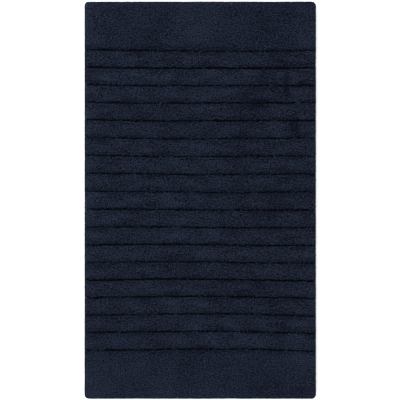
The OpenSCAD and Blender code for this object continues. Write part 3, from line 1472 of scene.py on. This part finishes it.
@dataclass
class BackingCloth:
    """The woven cloth that the tufts stand in, dark with painted shade where it shows in the grooves."""

    plan: MatPlan
    step: float = 12 * MM
    cockle: float = 0.06 * MM
    cockle_length: float = 50 * MM

    def build(self, look: bpy.types.Material) -> bpy.types.Object:
        """Makes the cloth: a level upper side, and a lower one that waves a little.

        Args:
            look: The cloth's material.

        Returns:
            The new piece.
        """
        plan = self.plan
        x, y = plan.cloth.grid(self.step)
        waves = (1 + Waves(Seed.CLOTH_COCKLE, self.cockle_length).at(x, y)).clip(0, 2)
        upper = np.stack([x, y, np.full_like(x, plan.pile_foot)], -1)
        lower = np.stack([x, y, plan.coat_top + self.cockle * waves], -1)
        return add_piece("backing_cloth_woven", closed_sheet(upper, lower), look, "backing", "backing_cloth")


@dataclass
class CareLabel:
    """A blank woven label, sewn down on all four sides."""

    inset: float = 1.5 * MM
    corner: float = 1 * MM
    stitch_corner: float = 0.5 * MM
    stitch_pitch: float = 2.5 * MM
    thread: float = 0.25 * MM
    step: float = 1 * MM
    puff: float = 0.12 * MM
    pull_width: float = 0.6 * MM
    cockle: float = 0.03 * MM
    cockle_length: float = 9 * MM
    margin: float = 0.3 * MM

    def box(self) -> tuple[Array, Array]:
        """The label's lowest and highest corner, from the CAD frame."""
        low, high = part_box("care_label")
        return np.array(low), np.array(high)

    def build(self, look: bpy.types.Material) -> bpy.types.Object:
        """Makes the label: its lower side is drawn up along its stitches and waves a little.

        Args:
            look: The label's material.

        Returns:
            The new piece.
        """
        low, high = self.box()
        size, middle = high - low, (low + high) / 2
        x, y = RoundedOblong(size[0], size[1], self.corner).grid(self.step)
        near = np.minimum(size[0] / 2 - np.abs(x), size[1] / 2 - np.abs(y))
        pull = np.exp(-(((near - self.inset) / self.pull_width) ** 2))
        waves = (1 + Waves(Seed.LABEL_COCKLE, self.cockle_length).at(x, y)).clip(0, 2)
        lower = low[2] + self.puff * pull + self.cockle * waves
        upper = np.full_like(x, high[2])
        x, y = x + middle[0], y + middle[1]
        shell = closed_sheet(np.stack([x, y, upper], -1), np.stack([x, y, lower], -1))
        return add_piece("care_label_woven", shell, look, "label", "care_label")


@dataclass
class AntiSlipCoat:
    """Latex over the backing, with the rows of back stitches standing through it as ridges."""

    plan: MatPlan
    label: CareLabel
    ridge_step: float = 3.2 * MM
    samples: int = 4
    across_step: float = 13 * MM
    relief: float = 0.35 * MM
    sway: float = 0.6 * MM
    sway_length: float = 120 * MM
    unevenness: float = 0.1 * MM
    uneven_length: float = 30 * MM
    flat_rim: float = 6.4 * MM
    seat_margin: float = 1 * MM

    def build(self, look: bpy.types.Material) -> bpy.types.Object:
        """Makes the coat: a grid whose lower side rises between the ridges and over the label's seat.

        Args:
            look: The coat's material.

        Returns:
            The new piece.
        """
        half_x, half_y = self.plan.coat_half
        rows = round(2 * half_x / self.across_step) + 1
        columns = round(2 * half_y / self.ridge_step) * self.samples + 1
        across, along = np.linspace(-half_x, half_x, rows), np.linspace(-half_y, half_y, columns)
        x, y = np.meshgrid(across, along, indexing="ij")
        sway = self.sway * Waves(Seed.RIDGE_SWAY, self.sway_length).at(x, y)
        ridge = 0.5 + 0.5 * np.cos((y + sway) / self.ridge_step * math.tau)
        thinner = (1 + Waves(Seed.COAT_THICKNESS, self.uneven_length).at(x, y)).clip(0, 2)
        near = np.minimum(half_x - np.abs(x), half_y - np.abs(y))
        edge = (near / self.flat_rim).clip(0, 1)
        lift = (self.relief * (1 - ridge) + self.unevenness * thinner) * edge
        low, high = self.label.box()
        past_x, past_y = self.across_step, self.seat_margin
        seat = (x > low[0] - past_x) & (x < high[0] + past_x) & (y > low[1] - past_y) & (y < high[1] + past_y)
        lift = np.where(seat, np.maximum(lift, high[2] - low[2] + self.label.margin), lift)
        upper = np.stack([x, y, np.full_like(x, self.plan.coat_top)], -1)
        shell = closed_sheet(upper, np.stack([x, y, lift], -1))
        shell.values["ridge"] = np.concatenate([ridge.ravel(), ridge.ravel()])
        return add_piece("anti_slip_coat_latex", shell, look, "coat", "anti_slip_coat")


class Side(Enum):
    """A side of the mat: the turn that brings the +X side to it, in quarter turns."""

    RIGHT = 0
    HEAD = 1
    LEFT = 2
    FOOT = 3


@dataclass
class HemTape:
    """A length of twill tape under one side of the cloth, mitred at its ends and drawn in at its stitches."""

    side: Side
    plan: MatPlan
    width: float = 22 * MM
    stitch_inset: float = 3 * MM
    stitch_step: float = 4 * MM
    step: float = 1.3 * MM
    lines: int = 15
    dent: float = 0.38 * MM
    dent_width: float = 1.1 * MM
    dent_beat: float = 0.25
    turned_edge: float = 0.35 * MM
    turned_width: float = 0.7 * MM

    def build(self, look: bpy.types.Material) -> bpy.types.Object:
        """Makes the tape.

        Across, the lines are evenly apart. Along, each line ends at the mitre, as far in from the cloth's end
        as it is from its edge. The lower side rises at the two rows of stitches and at the tape's borders.

        Args:
            look: The tape's material.

        Returns:
            The new piece.
        """
        cloth = self.plan.cloth
        turned = self.side in (Side.HEAD, Side.FOOT)
        half_out, half_run = (cloth.length, cloth.width) if turned else (cloth.width, cloth.length)
        half_out, half_run = half_out / 2, half_run / 2
        steps = round(2 * half_run / self.step)
        inward, share = np.meshgrid(
            np.linspace(self.width, 0, self.lines), np.linspace(-1, 1, steps + 1), indexing="ij"
        )
        out, run = half_out - inward, share * (half_run - inward)
        rows = (self.stitch_inset, self.width - self.stitch_inset)
        near = sum(np.exp(-(((inward - row) / self.dent_width) ** 2)) for row in rows)
        beat = 1 - self.dent_beat - self.dent_beat * np.cos(run / self.stitch_step * math.tau)
        mitre = (half_run - inward) * (1 - np.abs(share)) / math.sqrt(2)
        border = np.minimum(np.minimum(inward, self.width - inward), mitre)
        edge = self.turned_edge * np.exp(-((border / self.turned_width) ** 2))
        lift = np.maximum(self.dent * near * beat, edge)
        quarter = self.side.value
        turn_x, turn_y = (1, 0, -1, 0)[quarter], (0, 1, 0, -1)[quarter]
        x, y = cloth.rounded(out * turn_x - run * turn_y, out * turn_y + run * turn_x)
        upper = np.stack([x, y, np.full_like(x, self.plan.coat_top)], -1)
        name = "hem_tape_" + self.side.name.lower()
        return add_piece(name + "_twill", closed_sheet(upper, np.stack([x, y, lift], -1)), look, "tape", name)


@dataclass
class StitchRow:
    """A row of lockstitches round an oblong: short arched lengths of thread that dive in at both ends.

    Each stitch has four rings: their stations are shares of its length, and depths and sizes of the thread.
    """

    name: str
    node: str
    outline: RoundedOblong
    centre: tuple[float, float] = (0.0, 0.0)
    pitch: float = 4 * MM
    thread: float = 0.5 * MM
    share: float = 0.86
    sides: int = 5
    slant: float = 0.12
    stations: tuple[float, ...] = (-0.5, -0.3, 0.3, 0.5)
    depths: tuple[float, ...] = (1.25, 0.62, 0.62, 1.25)
    sizes: tuple[float, ...] = (0.6, 1.0, 1.0, 0.6)

    def build(self, look: bpy.types.Material) -> bpy.types.Object:
        """Makes the row.

        A stitch lies low between its two middle rings and rises into the cloth at both ends, where it is
        thinner. It slants a little across the row.

        Args:
            look: The thread's material.

        Returns:
            The new piece.
        """
        place, way, step = self.outline.around(self.pitch)
        place = place + np.array(self.centre)
        out = np.stack([way[:, 1], -way[:, 0]], -1)
        along = np.array(self.stations)
        run = (along * step * self.share)[None, :, None]
        aside = (along * (self.slant * self.thread))[None, :, None]
        flat = place[:, None] + way[:, None] * run + out[:, None] * aside
        depth = self.thread * np.array(self.depths)
        size = self.thread / 2 * np.array(self.sizes)
        angle = np.arange(self.sides) / self.sides * math.tau
        wide, tall = np.cos(angle) * size[:, None], np.sin(angle) * size[:, None]
        rings = np.empty((len(place), len(along), self.sides, 3))
        rings[..., :2] = flat[:, :, None] + out[:, None, None] * wide[None, ..., None]
        rings[..., 2] = depth[None, :, None] - tall[None]
        rings = rings[:, :, ::-1]
        shell = stacked_rings(rings, None, None, CellMap(len(place)))
        return add_piece(self.name, shell, look, "thread", self.node)


# ----------------------------------------------------------------------------------------------------
# The mat and its studio
# ----------------------------------------------------------------------------------------------------


@dataclass
class BathMat:
    """The whole mat: its pile, backing, hem and label."""

    plan: MatPlan
    label: CareLabel = field(default_factory=CareLabel)
    pieces: list[bpy.types.Object] = field(default_factory=list)

    def pile(self) -> None:
        """Makes the foot band, the ribs and the head band."""
        look = CutPile().material()
        ribs = self.plan.course.ribs
        names = ["pile_foot_band"] + [f"pile_rib_{i:02d}" for i in range(1, ribs + 1)] + ["pile_head_band"]
        for index, name in enumerate(names):
            self.pieces.append(PileStrip(name, index, self.plan).build(look))

    def underside(self) -> None:
        """Makes the coat and the hem tapes."""
        self.pieces.append(AntiSlipCoat(self.plan, self.label).build(SprayedLatex().material()))
        twill = TWILL_TAPE.material()
        for side in Side:
            self.pieces.append(HemTape(side, self.plan).build(twill))

    def stitches(self) -> None:
        """Makes the stitches of the hem and of the label."""
        look = SewingThread().material()
        near, thread = HemTape.stitch_inset, StitchRow.thread
        for name, inset in (("outer", near), ("inner", HemTape.width - near - thread)):
            row = self.plan.cloth.inset(inset + thread / 2)
            self.pieces.append(StitchRow(f"hem_{name}_stitches", f"hem_thread_{name}", row).build(look))
        low, high = self.label.box()
        size, middle = high - low - 2 * self.label.inset, (low + high) / 2
        label_row = StitchRow(
            "care_label_stitches",
            "care_label_thread",
            RoundedOblong(size[0], size[1], self.label.stitch_corner),
            centre=(middle[0], middle[1]),
            pitch=self.label.stitch_pitch,
            thread=self.label.thread,
        )
        self.pieces.append(label_row.build(look))

    def build(self) -> None:
        self.pile()
        self.underside()
        self.stitches()
        self.pieces.append(self.label.build(RIBBON.material()))
        cloth = BackingCloth(self.plan).build(BACKING_PAINTED_SHADE.material())


@dataclass
class Studio:
    """A pale floor, soft light from the head end and the left, and a camera straight above the mat."""

    view_width: float = 0.9222
    lens: float = 100.0
    sensor: float = 36.0
    aim: tuple[float, float] = (-0.45 * MM, 0.3 * MM)
    focus_height: float = 12 * MM
    floor_half: float = 12.0
    floor_drop: float = 0.2 * MM
    ambient: float = 1.5
    key_power: float = 110.0
    key_size: float = 2.2
    key_place: tuple[float, float, float] = (-1.7, 0.9, 2.3)

    def floor(self) -> None:
        """Lays the floor just under the mat."""
        half, drop = self.floor_half, -self.floor_drop
        corners = [(-half, -half, drop), (half, -half, drop), (half, half, drop), (-half, half, drop)]
        mesh = bpy.data.meshes.new("floor")
        mesh.from_pydata(corners, [], [(0, 1, 2, 3)])
        mesh.materials.append(PaleFloor().material())
        floor = bpy.data.objects.new("floor", mesh)
        bpy.context.scene.collection.objects.link(floor)
        floor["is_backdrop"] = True

    def light(self) -> None:
        """Sets the white surroundings and one broad, soft key light."""
        world = bpy.data.worlds.new("studio")
        bpy.context.scene.world = world
        world.use_nodes = True
        background = world.node_tree.nodes["Background"]
        background.inputs["Color"].default_value = (1.0, 1.0, 1.0, 1.0)
        background.inputs["Strength"].default_value = self.ambient
        lamp = bpy.data.lights.new("key", "AREA")
        lamp.energy = self.key_power
        lamp.size = self.key_size
        key = bpy.data.objects.new("key", lamp)
        key.location = self.key_place
        key.rotation_euler = (-Vector(self.key_place)).to_track_quat("-Z", "Y").to_euler()
        bpy.context.scene.collection.objects.link(key)

    def camera(self) -> None:
        """Puts a long lens straight above the mat, with the head end at the top of the frame."""
        data = bpy.data.cameras.new("camera")
        data.lens = self.lens
        data.sensor_width = self.sensor
        camera = bpy.data.objects.new("camera", data)
        height = self.view_width * self.lens / self.sensor + self.focus_height
        camera.location = (*self.aim, height)
        bpy.context.scene.collection.objects.link(camera)
        bpy.context.scene.camera = camera

    def build(self) -> None:
        """Sets up the studio, and shows its colours as they are."""
        self.camera()
        self.floor()
        self.light()
        bpy.context.scene.view_settings.view_transform = "Standard"


def main() -> None:
    """Builds the studio and the mat, and logs each piece's points and triangles."""
    logging.basicConfig(level=logging.INFO, format="%(name)s %(message)s")
    Studio().build()
    mat = BathMat(MatPlan.from_frame())
    mat.build()


if __name__ == "__main__":
    main()
